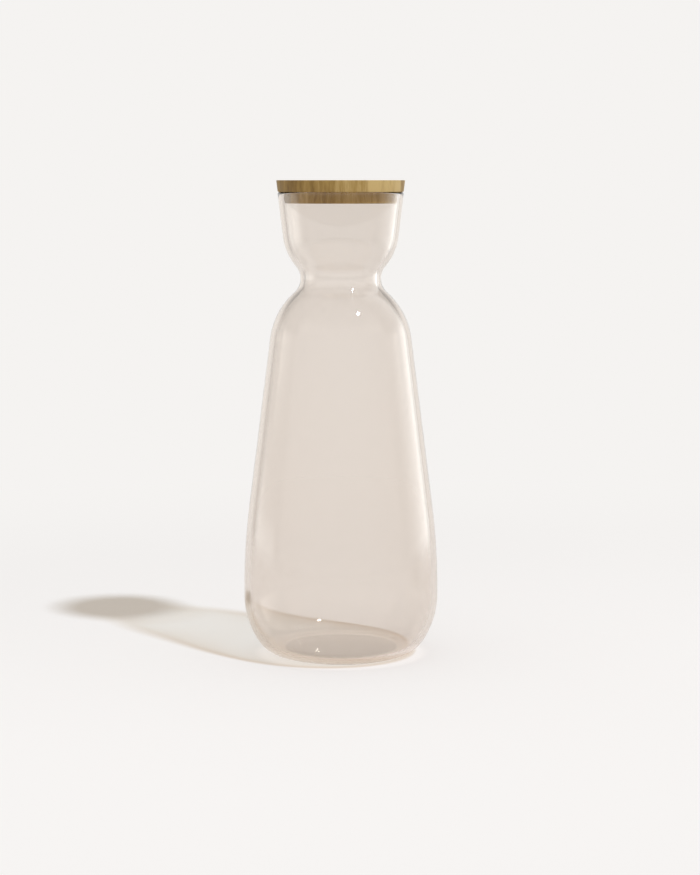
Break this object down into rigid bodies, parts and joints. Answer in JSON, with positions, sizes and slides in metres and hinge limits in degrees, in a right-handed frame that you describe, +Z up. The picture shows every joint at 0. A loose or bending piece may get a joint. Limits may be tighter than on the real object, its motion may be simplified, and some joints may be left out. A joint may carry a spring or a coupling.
{
  "type": "carafe with wooden lid",
  "caption": "Waisted glass carafe with a flat base and a conical mouth, closed by a lift-out wooden lid.",
  "frame": {"origin": "centre of the flat base, on the surface that the carafe stands on", "axes": "+Z up along the axis of turning, out of the mouth; X and Y are any two level directions, since the object is turned"},
  "size_m": [0.1071, 0.107, 0.26],
  "materials": {
    "glass": "clear, smoke-beige tint, polished",
    "cap_wood": "oiled satin",
    "plug_wood": "oiled satin"
  },
  "bodies": {
    "carafe": {"glass_body": "glass"},
    "lid": {"lid_cap": "cap_wood", "lid_plug": "plug_wood"}
  },
  "joints": [
    {"name": "lid_lift", "type": "slide", "parent": "carafe", "child": "lid", "axis": [0, 0, 1], "range_m": [0, 0.06]}
  ]
}
